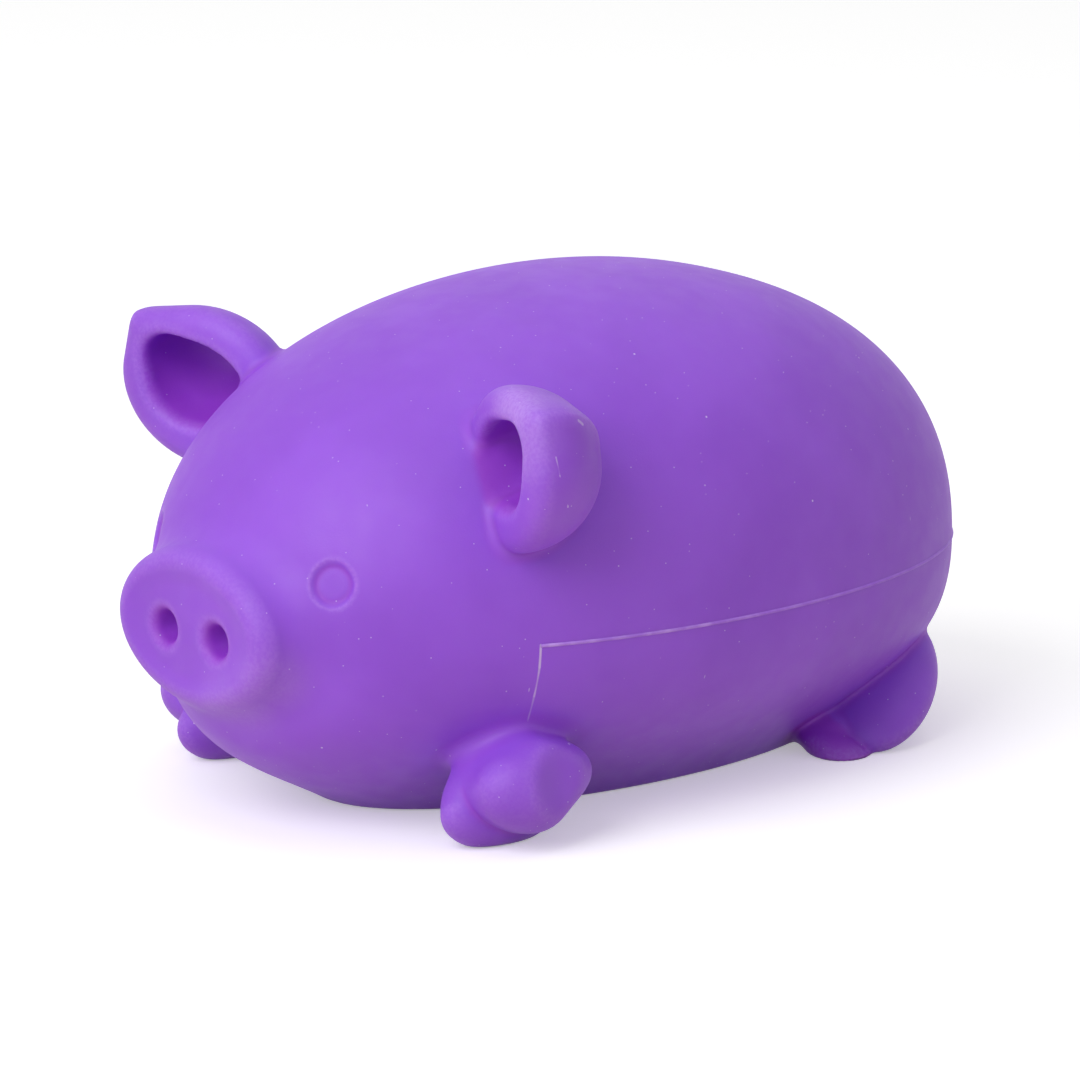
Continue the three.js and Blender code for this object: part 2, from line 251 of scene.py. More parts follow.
# %% The eyes' depth
EYE_X = 17
EYE_Z = 31.6
EYE_DISH_RADIUS, EYE_DISH_DEPTH = 4.3, 0.2
EYE_WALL_TOP, EYE_WALL_FOOT, EYE_DEPTH = 2.95, 1.95, 0.45
EYE_PUPIL_EDGE, EYE_PUPIL_RISE = 1.2, 0.06


def halve(inside, near, far, rounds=40):
    """Halves the way from a place inside a form to one outside it, down to its skin."""
    for _ in range(rounds):
        middle = (near + far) / 2
        within = inside(middle)
        near, far = np.where(within, middle, near), np.where(within, far, middle)
    return near


def unit(vectors):
    return vectors / np.linalg.norm(vectors, axis=-1, keepdims=True)


def slope(field, points, step=0.02):
    """Direction in which a field grows fastest."""
    parts = [field(points + shift) - field(points - shift) for shift in step * np.eye(3)]
    return np.stack(parts, axis=-1) / (2 * step)


def eye_place(side):
    """Middle of an eye on the body, and the way that it faces."""
    x, front_end = side * EYE_X, BODY_MIDDLE_Y - BODY_HALF_LENGTH
    y = halve(lambda y: egg(np.array([[x, y, EYE_Z]]))[0] < 0, BODY_MIDDLE_Y, front_end)
    centre = np.array([x, y, EYE_Z])
    return centre, unit(slope(egg, centre[None]))[0]


def eye_depth(points, side):
    centre, outward = eye_place(side)
    local = points - centre
    height = local @ outward
    ring = np.sqrt(np.maximum(np.sum(local * local, axis=-1) - height**2, 0))
    depth = EYE_DISH_DEPTH * step_down(ring, EYE_DISH_RADIUS, 0)
    depth += EYE_DEPTH * step_down(ring, EYE_WALL_TOP, EYE_WALL_FOOT)
    depth -= EYE_PUPIL_RISE * step_down(ring, EYE_WALL_FOOT, EYE_PUPIL_EDGE)
    return np.where(np.abs(height) < EYE_DISH_RADIUS, depth, 0)


print("left eye at", eye_place(1)[0].round(1), "mm")


# %% [markdown]
# ## The front feet
# A front foot shows two toes: a low inner one, and above it an outer one that runs up into the
# leg. Rounded lobes joined with fillets give soft flesh; the fillet between the toes is small
# outside, where the cleft is sharp, and large inside, where the toes run together.

# %% The front feet's field
# Each lobe is its middle and its three half axes.
FRONT_INNER = ((25.6, -31.3, 4.0), (4.0, 8.4, 4.8))
FRONT_OUTER = ((30.4, -31.6, 7.6), (4.9, 6.6, 4.8))
FRONT_HEEL = ((30.6, -26.8, 8.2), (2.9, 4.4, 3.4))
SHIN_MIDDLE = np.array([28.0, -31.6, 7.5])
SHIN_HALF = np.array([4.6, 6.6, 5.4])
SHIN_SQUARENESS = 2.9
SHIN_SLOPE = 36
SHIN_FACING = 22
SHIN_SCALE = 6
SCOOP = ((37.9, -29.3, 10.4), (3.9, 4.6, 6.2))
FRONT_LOBE_FILLET = 2.0
CLEFT_FILLET = (3.2, 0.4)
CLEFT_START, CLEFT_END = 23.0, 27.0


def mirrored(points, side):
    """Points as the left side's forms see them, so that the right side is their mirror image."""
    return points * np.array([side, 1, 1])


def shin(points):
    """The front leg above its toes: a block with rounded edges that comes down forwards."""
    facing, slope_down = np.radians(SHIN_FACING), np.radians(SHIN_SLOPE)
    ahead = np.array([np.sin(facing), -np.cos(facing), 0])
    face = ahead * np.cos(slope_down) + np.array([0, 0, np.sin(slope_down)])
    down = ahead * np.sin(slope_down) - np.array([0, 0, np.cos(slope_down)])
    along = np.array([np.cos(facing), np.sin(facing), 0])
    local = points - SHIN_MIDDLE
    scaled = np.abs(np.stack([local @ face, local @ along, local @ down], axis=-1) / SHIN_HALF)
    return (np.sum(scaled**SHIN_SQUARENESS, axis=-1) ** (1 / SHIN_SQUARENESS) - 1) * SHIN_SCALE


def front_foot(points, side):
    p = mirrored(points, side)
    inner = ellipsoid(p, *FRONT_INNER)
    outer = join(ellipsoid(p, *FRONT_OUTER), shin(p), FRONT_LOBE_FILLET)
    outer = join(outer, ellipsoid(p, *FRONT_HEEL), FRONT_LOBE_FILLET)
    outer = cut(outer, ellipsoid(p, *SCOOP), FRONT_LOBE_FILLET)
    share = np.clip((p[..., 0] - CLEFT_START) / (CLEFT_END - CLEFT_START), 0, 1)
    return join(inner, outer, CLEFT_FILLET[0] + (CLEFT_FILLET[1] - CLEFT_FILLET[0]) * share)


print(f"front toes {2 * FRONT_INNER[1][1]:.1f} and {2 * FRONT_OUTER[1][1]:.1f} mm long")

# %% [markdown]
# ## The rear feet
# Only the outer side of a rear foot shows from beside the body: a large flat toe that leans
# against the belly, and under it the tip of the inner toe. Each is an ellipsoid turned to lie as
# in the photograph. Two more, the haunch and the ankle, fill the room between toes and belly, so
# that the foot is as plump from behind as from its side.

# %% The rear feet's field
REAR_INNER = ((21.3, 24.6, 0.3), (5.8, 4.7, 2.5))
REAR_OUTER = ((19.31, 32.76, 6.94), (7.2, 10.63, 3.6))
REAR_HAUNCH = ((16.3, 35.2, 6.1), (7.0, 9.8, 4.6))
REAR_ANKLE = ((17.4, 27.6, 2.4), (5.2, 6.4, 3.1))
REAR_INNER_TURN = (18, -10, 26)
REAR_OUTER_TURN = (38, 38, 0)
REAR_HAUNCH_FILLET, REAR_ANKLE_FILLET, REAR_CLEFT_FILLET = 2.0, 1.5, 0.4


def turn_about(axis, degrees):
    """A turn about one of the body's axes: 0 across it, 1 along it, 2 up."""
    cosine, sine = np.cos(np.radians(degrees)), np.sin(np.radians(degrees))
    first, second = [(1, 2), (2, 0), (0, 1)][axis]
    turn = np.eye(3)
    turn[first, first] = turn[second, second] = cosine
    turn[first, second], turn[second, first] = -sine, sine
    return turn


def turned(yaw, pitch, lean):
    """Three turns in degrees: round, up at the rear, and to the side."""
    return turn_about(2, yaw) @ turn_about(0, pitch) @ turn_about(1, lean)


def rear_inner_toe(p):
    return ellipsoid(p, *REAR_INNER, turned(*REAR_INNER_TURN))


def rear_outer_toe(p):
    return ellipsoid(p, *REAR_OUTER, turned(*REAR_OUTER_TURN))


def rear_foot(points, side):
    p = mirrored(points, side)
    haunch = ellipsoid(p, *REAR_HAUNCH, turned(*REAR_OUTER_TURN))
    outer = join(rear_outer_toe(p), haunch, REAR_HAUNCH_FILLET)
    inner = join(rear_inner_toe(p), ellipsoid(p, *REAR_ANKLE), REAR_ANKLE_FILLET)
    return join(inner, outer, REAR_CLEFT_FILLET)


print(f"rear toes {2 * REAR_INNER[1][0]:.1f} and {2 * REAR_OUTER[1][1]:.1f} mm long")


# %% [markdown]
# ## The ears
# An ear is a thick cup that opens to the front and ends in one blunt point. Bending a sheet would
# give an even wall, but the real one is fat below and thin at its lip. So it is a drop-shaped
# cushion, cut flat in front, from which a smaller drop-shaped hollow is taken. The hollow always
# ends a wall's thickness inside the cushion, so that it can't break through at the back.

# %% The ears' field
EAR_CENTRE = np.array([29.67, -32.05, 44.8])
EAR_AXES = np.array([12.0, 9.35, 9.64])
EAR_OUT = np.array([0.93723, -0.25113, 0.24192])
EAR_POINT, EAR_POINT_TURN = 0.182, 0.547
EAR_POINT_BLUNT, EAR_POINT_EASE = 0.029, 0.06
EAR_FACING = np.array([0.066, 1.0, 0.01])
EAR_FACE = -2.35
EAR_FACE_EDGE = 2.68
HOLLOW_PLACE = np.array([0.95, -1.48, 0.6])
HOLLOW_AXES = np.array([5.94, 8.47, 5.75])
HOLLOW_POINT = (0.38, 0.532, 0.52)
HOLLOW_LEAN = np.array([-0.107, 1.0, -0.813])
HOLLOW_TOWARDS_HEAD = 7.6
EAR_LIP = 1.8
EAR_WALL = 1.5
EAR_SCALE, HOLLOW_SCALE = 9, 6.5
WIDEST_TURN, LEAST_COSINE = 1.4, 0.2


# The ear's own axes as columns: out, back, up.
ear_back = unit(np.cross((0, 0, 1), unit(EAR_OUT)))
EAR_TURN = np.stack([unit(EAR_OUT), ear_back, np.cross(unit(EAR_OUT), ear_back)], axis=1)


def round_turn(across, up, angle):
    """How far a direction is turned away from an angle."""
    turn = np.arctan2(up, across) - angle
    return np.abs((turn + np.pi) % (2 * np.pi) - np.pi)


def drop_reach(across, up):
    """How far the ear's outline reaches each way: a round drawn out to one blunt point."""
    turn = round_turn(across, up, EAR_POINT_TURN)
    lean = np.arccos(1 / (1 + EAR_POINT))
    side = np.where(turn < lean, 1 / np.cos(np.minimum(lean - turn, WIDEST_TURN)), 1.0)
    blunt = (1 + EAR_POINT) * (1 - EAR_POINT_BLUNT) / np.maximum(np.cos(turn), LEAST_COSINE)
    return join(side, blunt, EAR_POINT_EASE)


def hollow_reach(across, up):
    point, angle, spread = HOLLOW_POINT
    return 1 + point * np.exp(-((round_turn(across, up, angle) / spread) ** 2))


def ear_petal(points, side):
    """The ear's drop-shaped cushion before it is cut flat in front."""
    local = (mirrored(points, side) - EAR_CENTRE) @ EAR_TURN
    across, through, up = np.moveaxis(local / EAR_AXES, -1, 0)
    radial = np.hypot(across, up) / drop_reach(across, up)
    return (np.hypot(radial, through) - 1) * EAR_SCALE


def ear_outside(points, side):
    local = (mirrored(points, side) - EAR_CENTRE) @ EAR_TURN
    front = local @ EAR_FACING - EAR_FACE
    return -join(-ear_petal(points, side), front, EAR_FACE_EDGE)


def ear_hollow(points, side):
    local = (mirrored(points, side) - EAR_CENTRE) @ EAR_TURN - HOLLOW_PLACE
    depth = local @ HOLLOW_LEAN / HOLLOW_AXES[1]
    across = local[..., 0] / np.where(local[..., 0] > 0, HOLLOW_AXES[0], HOLLOW_TOWARDS_HEAD)
    up = local[..., 2] / HOLLOW_AXES[2]
    radial = np.hypot(across, up) / hollow_reach(across, up)
    hollow = (np.hypot(radial, depth) - 1) * HOLLOW_SCALE
    return -join(-hollow, -ear_petal(points, side) - EAR_WALL, EAR_WALL)


def ear(points, side):
    return cut(ear_outside(points, side), ear_hollow(points, side), EAR_LIP)


print("left ear's middle at", EAR_CENTRE, "mm, its half axes", EAR_AXES, "mm")

# %% [markdown]
# ## One skin from all the forms
# The forms meet in the order in which a modeller in clay would put them on. The egg is dented at
# the eyes, then come snout, feet and ears with a fillet each, and the nostrils last. Below, the
# skin is cut level where the toy stands, with a seat for the filler plug.

# %% The whole skin
PLUG_MIDDLE = np.array([0.0, 4.5])
PLUG_SEAT_RADIUS, PLUG_SEAT_TOP = 6.75, 1.5
PLUG_SEAT_TAPER, PLUG_SEAT_EDGE = 4, 0.3
FRONT_FOOT_FILLET, REAR_FOOT_FILLET, EAR_FILLET = 2.6, 0.8, 1.3
NOSTRIL_EDGE, SOLE_EDGE = 1.4, 0.4


def plug_seat(points):
    wall = np.linalg.norm(points[..., :2] - PLUG_MIDDLE, axis=-1) - PLUG_SEAT_RADIUS
    return wall + np.maximum(points[..., 2] - PLUG_SEAT_TOP, 0) * PLUG_SEAT_TAPER


def skin(points):
    body = egg(points) + eye_depth(points, 1) + eye_depth(points, -1)
    body = join(body, snout(points), SNOUT_FILLET)
    for side in (1, -1):
        body = join(body, front_foot(points, side), FRONT_FOOT_FILLET)
        body = join(body, rear_foot(points, side), REAR_FOOT_FILLET)
        body = join(body, ear(points, side), EAR_FILLET)
    for side in (1, -1):
        body = cut(body, nostril(points, side), NOSTRIL_EDGE)
    body = cut(body, plug_seat(points), PLUG_SEAT_EDGE)
    return cut(body, points[..., 2], SOLE_EDGE)


toy_middle = np.array([[0.0, BODY_MIDDLE_Y, SEAM_HEIGHT]])
print(f"from the toy's middle it is {-skin(toy_middle)[0]:.1f} mm to its skin")


# %% [markdown]
# ## From a field to a mesh
# Blender draws faces, not fields. So a grid is laid through the toy, and the field is read at its
# points. Far from the skin only the sign matters, so each block of points first gets one rough
# value, and exact ones follow only where the skin may be near.

# %% Values on a grid
BLOCK = 4
BLOCK_REACH, BLOCK_SLACK = 1.5, 1.2
FAR_VALUE = 9
BATCH = 4000


def spaced(stops):
    """Grid places from stops of (place, spacing from there on)."""
    places = []
    for (start, step), (end, _) in zip(stops, stops[1:]):
        count = max(1, int(round((end - start) / step)))
        places.extend(np.linspace(start, end, count, endpoint=False))
    places.append(stops[-1][0])
    return np.array(places)


def sample(field, grid):
    """Values of a field on a grid, worked out only near its skin."""
    filled = [np.concatenate([g, np.full(-len(g) % BLOCK, g[-1])]) for g in grid]
    rows = [g.reshape(-1, BLOCK) for g in filled]
    reach = [(r.max(axis=1) - r.min(axis=1)) / 2 for r in rows]
    centre = np.stack(np.meshgrid(*[r.mean(axis=1) for r in rows], indexing="ij"), axis=-1)
    rough = field(centre.reshape(-1, 3)).reshape([len(r) for r in rows])
    size = np.sqrt(sum(r**2 for r in np.meshgrid(*reach, indexing="ij")))
    near = np.argwhere(np.abs(rough) < BLOCK_REACH * size + BLOCK_SLACK)
    values = np.sign(rough) * FAR_VALUE
    for axis in range(3):
        values = np.repeat(values, BLOCK, axis)
    offsets = np.stack(np.meshgrid(*[np.arange(BLOCK)] * 3, indexing="ij"), axis=-1).reshape(-1, 3)
    for start in range(0, len(near), BATCH):
        places = (near[start : start + BATCH, None, :] * BLOCK + offsets[None]).reshape(-1, 3)
        points = np.stack([filled[i][places[:, i]] for i in range(3)], axis=-1)
        values[places[:, 0], places[:, 1], places[:, 2]] = field(points)
    return values[tuple(slice(len(g)) for g in grid)]


print("places from stops 0, 2 and 3:", spaced([(0, 1), (2, 0.5), (3, 1)]))

# %% [markdown]
# ## A net of quads
# The net gets one vertex in each grid cell that the skin crosses, and one quad round each grid
# edge that it crosses. That gives quads everywhere, and no slivers as triangles cut by the grid
# would have.

# %% Vertices and quads from values
def crossed_cells(inside):
    """The cells that the skin crosses, and a grid with their numbers."""
    corners = np.zeros(np.array(inside.shape) - 1, int)
    for i, j, k in np.ndindex(2, 2, 2):
        corners += inside[i : i - 1 or None, j : j - 1 or None, k : k - 1 or None]
    cells = np.argwhere((corners > 0) & (corners < 8))
    number = np.full(corners.shape, -1)
    number[tuple(cells.T)] = np.arange(len(cells))
    return cells, number


def cell_vertices(values, grid, cells):
    """One vertex per cell: the mean of the places where the skin crosses the cell's edges."""
    total = np.zeros((len(cells), 3))
    hits = np.zeros(len(cells))
    for axis in range(3):
        others = [a for a in range(3) if a != axis]
        for shift in np.ndindex(2, 2):
            ends = [cells.copy(), cells.copy()]
            ends[0][:, others] += shift
            ends[1][:, others] += shift
            ends[1][:, axis] += 1
            a, b = [values[tuple(end.T)] for end in ends]
            crosses = (a < 0) != (b < 0)
            share = np.where(crosses, a / np.where(crosses, a - b, 1), 0)
            low, high = [np.stack([grid[i][end[:, i]] for i in range(3)], axis=-1) for end in ends]
            met = low + (high - low) * share[:, None]
            total += np.where(crosses[:, None], met, 0)
            hits += crosses
    return total / hits[:, None]


def edge_quads(inside, number):
    """A quad round each grid edge that the skin crosses, facing outwards."""
    faces = []
    for axis in range(3):
        first = np.delete(inside, -1, axis)
        edges = np.argwhere(first != np.delete(inside, 0, axis))
        u, v = [(1, 2), (2, 0), (0, 1)][axis]
        edges = edges[(edges[:, u] > 0) & (edges[:, v] > 0)]
        edges = edges[(edges[:, u] < number.shape[u]) & (edges[:, v] < number.shape[v])]
        ring = []
        for du, dv in ((-1, -1), (0, -1), (0, 0), (-1, 0)):
            cell = edges.copy()
            cell[:, u] += du
            cell[:, v] += dv
            ring.append(number[tuple(cell.T)])
        quads = np.stack(ring, axis=-1)
        leaves = first[tuple(edges.T)]
        quads[~leaves] = quads[~leaves][:, ::-1]
        faces.append(quads)
    return np.concatenate(faces)


def net(field, grid):
    """Vertices and quads of a field's skin."""
    values = sample(field, grid)
    cells, number = crossed_cells(values < 0)
    return cell_vertices(values, grid, cells), edge_quads(values < 0, number)


_, ball_quads = net(lambda p: ellipsoid(p, 0, 3), [np.arange(-3.5, 4)] * 3)
print("a 3 mm ball's net has", len(ball_quads), "quads")

# %% [markdown]
# ## The skin's net
# The grid is finest at the eyes, whose rings are the smallest relief. Every vertex then slides
# along the field's slope until it is exactly on the skin. The slope there is also its normal, so
# the shading is as smooth as the field itself.

# %% Make the skin's net
SETTLE_ROUNDS, SETTLE_MOST, LEAST_SLOPE = 3, 0.4, 0.1


def settle(field, vertices):
    """Moves vertices onto a field's skin."""
    for _ in range(SETTLE_ROUNDS):
        grow = slope(field, vertices)
        far = field(vertices) / np.maximum(np.sum(grow * grow, axis=-1), LEAST_SLOPE)
        vertices = vertices - grow * np.clip(far, -SETTLE_MOST, SETTLE_MOST)[:, None]
    return vertices


coarse = 1.0
fine, even, wide = 0.24 * coarse, 0.45 * coarse, 0.6 * coarse
# The last stop of each row only ends it, and its spacing isn't used.
across_stops = [(-45, even), (-20.5, fine), (-13.5, even), (13.5, fine), (20.5, even), (45, 1)]
along_stops = [(-59, even), (-52, fine), (-45, even), (-18, wide), (54, 1)]
up_stops = [(-1.2, even), (28, fine), (35.2, even), (61, 1)]
vertices, faces = net(skin, [spaced(stops) for stops in (across_stops, along_stops, up_stops)])
vertices = settle(skin, vertices)
normals = unit(slope(skin, vertices))
print(f"{len(vertices)} vertices, {len(faces)} quads")


# %% [markdown]
# ## What the skin remembers
# Rubber looks paler where hands rub it, and its bulges also get a painted sheen. Where it only sees
# itself it gets painted shade, a darker and deeper purple. Instead of painting that by hand, wear
# and sheen are taken from how far the skin bulges at a vertex, and the painted shade from how deep
# the vertex lies in a nostril, an ear or a crease.

# %% Wear, sheen and painted shade
BEND_REACH = 0.8
# How far into a hollow, and behind the rear toe, the painted shade fades in.
HOLLOW_FADE = 0.7
TOE_BEHIND, TOE_SHADE = (0.3, -0.5), (2.5, 1.0)


def bend(points):
    """How far the skin bulges (above 0) or sinks in (below 0) round a point, per millimetre."""
    around = -6 * skin(points)
    for shift in BEND_REACH * np.eye(3):
        around += skin(points + shift) + skin(points - shift)
    return around / BEND_REACH**2


def painted_shade(points):
    """Painted shade: 1 deep in a nostril or an ear and behind the large rear toe, 0 in the open."""
    deep = np.zeros(len(points))
    for side in (1, -1):
        in_nostril = np.maximum(nostril(points, side), 0) / HOLLOW_FADE
        in_ear = np.maximum(ear_hollow(points, side), 0) + np.maximum(ear_outside(points, side), 0)
        deep = np.maximum(deep, np.exp(-(np.minimum(in_nostril, in_ear / HOLLOW_FADE) ** 2)))
        p = mirrored(points, side)
        behind = step_down(rear_inner_toe(p) - rear_outer_toe(p), *TOE_BEHIND)
        deep = np.maximum(deep, behind * step_down(rear_inner_toe(p), *TOE_SHADE))
    return deep


some_bends = bend(vertices[::100])
print(f"the skin bends by {some_bends.min():.1f} to {some_bends.max():.1f} per mm")

# %% [markdown]
# ## A piece from its faces
# The mesh keeps the place of each vertex at rest, because a pattern that reads it doesn't slip
# when the toy bends. Only the skin is given normals, since the small pieces have no creases.

# %% A mesh and what it keeps
# Bulges get wear and a painted sheen, more the further they bulge.
WEAR_AND_SHEEN_START, WEAR_AND_SHEEN_RANGE = 0.15, 0.5
# Creases take on part of the painted shade.
CREASE_START, CREASE_RANGE, CREASE_SHADE_SHARE = 0.1, 0.8, 0.5


def add_piece(name, vertices, faces, material, normals=None):
    """A piece in millimetres. With normals given it is cut from the skin's net."""
    vertices = np.asarray(vertices, float)
    if normals is not None:
        used, faces = np.unique(faces, return_inverse=True)
        faces = faces.reshape(-1, 4).tolist()
        vertices, normals = vertices[used], normals[used]
    mesh = bpy.data.meshes.new(name)
    mesh.from_pydata((vertices * 0.001).tolist(), [], faces)
    mesh.shade_smooth()
    # Painted shade for vertices deep in a hollow or behind the rear toe.
    painted_shade_share = painted_shade(vertices)
    rubbed_and_sheen = np.zeros(len(vertices))
    if normals is not None:
        mesh.normals_split_custom_set_from_vertices(normals.tolist())
        # Wear and painted sheen on the bulges.
        curve = bend(vertices)
        rubbed_and_sheen = np.clip((curve - WEAR_AND_SHEEN_START) / WEAR_AND_SHEEN_RANGE, 0, 1)
        # Creases add to the painted shade.
        creased = np.clip((-curve - CREASE_START) / CREASE_RANGE, 0, 1)
        painted_shade_share = np.maximum(painted_shade_share, CREASE_SHADE_SHARE * creased)
    place = mesh.attributes.new("rest_place", "FLOAT_VECTOR", "POINT")
    place.data.foreach_set("vector", vertices.ravel())
    for attribute, values in (("painted_shade", painted_shade_share), ("wear_and_sheen", rubbed_and_sheen)):
        mesh.attributes.new(attribute, "FLOAT", "POINT").data.foreach_set("value", values)
    mesh.materials.append(material)
    piece = bpy.data.objects.new(name, mesh)
    bpy.context.collection.objects.link(piece)
    print(name, "has", len(vertices), "vertices and", len(faces), "faces")
    return piece


# %% [markdown]
# ## Short words for shader nodes
# A material is a graph of nodes. These helpers add one node in a single line and link it.

# %% Nodes by short calls
def new_material(name):
    material = bpy.data.materials.new(name)
    material.use_nodes = True
    return material, material.node_tree


def fill(tree, node, inputs):
    """Gives a node's inputs numbers, colours or other nodes' outputs."""
    for key, value in inputs.items():
        if isinstance(value, bpy.types.NodeSocket):
            tree.links.new(value, node.inputs[key])
        else:
            node.inputs[key].default_value = value


def dress(tree, inputs):
    fill(tree, tree.nodes["Principled BSDF"], inputs)


def add_node(tree, kind, inputs, **settings):
    """Adds a node and returns its outputs."""
    node = tree.nodes.new(f"ShaderNode{kind}")
    for name, value in settings.items():
        setattr(node, name, value)
    fill(tree, node, inputs)
    return node.outputs


def remembered(tree, attribute, output="Fac"):
    """What the mesh keeps for each vertex under a name."""
    return add_node(tree, "Attribute", {}, attribute_name=attribute)[output]


def noise(tree, place, scale, detail):
    inputs = {"Vector": place, "Scale": scale, "Detail": detail}
    return add_node(tree, "TexNoise", inputs)["Fac"]


def ramp(tree, value, start, end, low=0.0, high=1.0):
    """Maps the range from start to end onto low to high, with soft ends."""
    inputs = {"Value": value, "From Min": start, "From Max": end, "To Min": low, "To Max": high}
    return add_node(tree, "MapRange", inputs, interpolation_type="SMOOTHSTEP")["Result"]


def math(tree, operation, a, b):
    return add_node(tree, "Math", {0: a, 1: b}, operation=operation)[0]


def vector_math(tree, operation, a, b):
    outputs = add_node(tree, "VectorMath", {0: a, 1: b}, operation=operation)
    return outputs["Value" if operation in ("DOT_PRODUCT", "DISTANCE") else "Vector"]


def mix_colours(tree, share, a, b):
    return add_node(tree, "Mix", {0: share, 6: a, 7: b}, data_type="RGBA")[2]


def relief(tree, height, strength, distance):
    """Relief too fine for the mesh, which only tilts the light. Its depth is in metres."""
    inputs = {"Height": height, "Strength": strength, "Distance": distance}
    return add_node(tree, "Bump", inputs)["Normal"]


print("materials so far:", len(bpy.data.materials))

# %% [markdown]
# ## Masks for the marks
# Scratches, specks and dust are masks: numbers from 0 to 1 that follow from a point's distance to
# a line, to the middle of a cell or to a place. Each is 1 in its core and fades out to its edge.

# %% Lines, specks and patches
LINE_CORE, SPECK_CORE, PATCH_CORE = 0.4, 0.5, 0.3


def fade(tree, off, radius, core):
    """1 within the core, a share of the radius, and 0 from the radius on."""
    return ramp(tree, off, radius * core, radius, 1.0, 0.0)


def line_mask(tree, place, start, end, half_width):
    """1 on a line between two places in millimetres, 0 beside it."""
    start, end = np.array(start), np.array(end)
    way = end - start
    from_start = vector_math(tree, "SUBTRACT", place, tuple(start))
    share = vector_math(tree, "DOT_PRODUCT", from_start, tuple(way / (way @ way)))
    share = add_node(tree, "Clamp", {"Value": share})[0]
    inputs = {0: tuple(way), "Scale": share}
    along = add_node(tree, "VectorMath", inputs, operation="SCALE")["Vector"]
    off = vector_math(tree, "DISTANCE", from_start, along)
    return fade(tree, off, half_width, LINE_CORE)


def speck_mask(tree, place, spacing, radius, kept):
    """1 in round specks of one radius, of which only a share is kept."""
    inputs = {"Vector": place, "Scale": 1 / spacing, "Randomness": 1.0}
    cells = add_node(tree, "TexVoronoi", inputs)
    pick = add_node(tree, "SeparateColor", {"Color": cells["Color"]})[0]
    inside = fade(tree, cells["Distance"], radius / spacing, SPECK_CORE)
    return math(tree, "MULTIPLY", inside, math(tree, "LESS_THAN", pick, kept))


def patch_mask(tree, place, middle, radius):
    return fade(tree, vector_math(tree, "DISTANCE", place, middle), radius, PATCH_CORE)


print("a line's core is", LINE_CORE, "of its width, a speck's", SPECK_CORE)


# %% [markdown]
# ## Soft purple rubber
# The skin is a soft, slightly see-through rubber with a satin surface. Its purple is clouded a
# little, and it draws dust: fine specks, a film on the near ear and the snout's lower rim. On the
# near ear's top the film is also a painted highlight. A few fine lines carry the parting line on,
# down to the foot and over the snout. Each of them says its two ends, its half width and its
# strength.

# %% The rubber's colours and marks
RUBBER_DEEP = (0.268, 0.067, 0.655, 1)
RUBBER_LIGHT = (0.302, 0.084, 0.72, 1)
# The painted shade's colour: a darker, deeper purple.
RUBBER_PAINTED_SHADE = (0.305, 0.042, 0.60, 1)
# Pale colour of dust and wear, also laid on as painted sheen and highlight.
RUBBER_DUST_AND_SHEEN = (0.47, 0.26, 0.80, 1)
SPECK_WHITE = (0.80, 0.72, 0.88, 1)
FINE_MARKS = (
    ((31.93, -30.35, 24.3), (31.75, -30.43, 21.6), 0.2, 0.8),
    ((31.75, -30.43, 21.6), (30.74, -30.46, 18.0), 0.18, 0.6),
    ((30.74, -30.46, 18.0), (29.0, -30.12, 14.6), 0.18, 0.35),
    ((31.1, -25.6, 11.8), (33.4, -27.9, 10.1), 0.2, 0.9),
    ((40.7, -35.1, 48.5), (41.1, -34.9, 46.4), 0.12, 0.5),
    ((41.1, -34.9, 46.4), (40.7, -33.4, 42.5), 0.14, 0.7),
    ((39.9, -31.1, 52.0), (39.9, -30.5, 51.5), 0.25, 0.5),
    ((-12.1, -56.5, 24.1), (-8.5, -56.2, 24.3), 0.16, 0.35),
    ((9.4, -56.2, 24.0), (14.2, -55.5, 24.3), 0.18, 0.45),
)
# A patch of dust is its middle, radius and strength. On the near ear it is also a painted
# highlight.
DUST_AND_SHEEN_PATCHES = (
    # The near ear's top: dust and a painted highlight.
    ((33.0, -37.5, 53.5), 8.0, 0.9),
    ((36.0, -37.5, 50.0), 7.0, 0.6),
    ((7.0, -56.0, 15.5), 7.0, 0.3),
    ((13.0, -55.0, 20.0), 6.0, 0.3),
)
# A kind of speck is how it is squeezed, its spacing and radius, the share kept and its strength.
SPECKS = (
    ((1.0, 1.0, 1.0), 1.4, 0.1, 0.6, 0.7),
    ((1.0, 1.0, 1.0), 4.2, 0.16, 0.35, 1.0),
    ((0.6, 1.0, 0.22), 2.6, 0.1, 0.3, 0.5),
)
print(len(FINE_MARKS), "fine marks and", len(DUST_AND_SHEEN_PATCHES), "patches of dust")

# %% [markdown]
# ## The rubber's shader
# The colour is laid on in layers, like paint: clouds, painted shade in the hollows, wear with a
# painted sheen, dust with a painted highlight on the near ear's top, and marks. Light spreads under
# the surface, its red part furthest. The finest relief is a bump of less than a tenth of a
# millimetre.

# %% The rubber
# Each noise is its scale and its detail.
CLOUD, GRAIN, SATIN = (0.05, 3.0), (2.4, 4.0), (0.35, 3.0)
FINE_RELIEF, BROAD_RELIEF, BROAD_SHARE = (5.0, 2.0), (0.7, 2.0), 0.8
CLOUD_RANGE, NOISE_RANGE = (0.35, 0.65), (0.3, 0.7)
# How much wear and painted sheen the bulges take, from fine to coarse grain.
WEAR_AND_SHEEN_SHARES = (0.12, 0.28)
DUST_AND_SHEEN_GRAIN, DUST_AND_SHEEN_BASE, MARK_SHARE = 0.4, 0.55, 0.7
SATIN_ROUGHNESS = (0.5, 0.57)


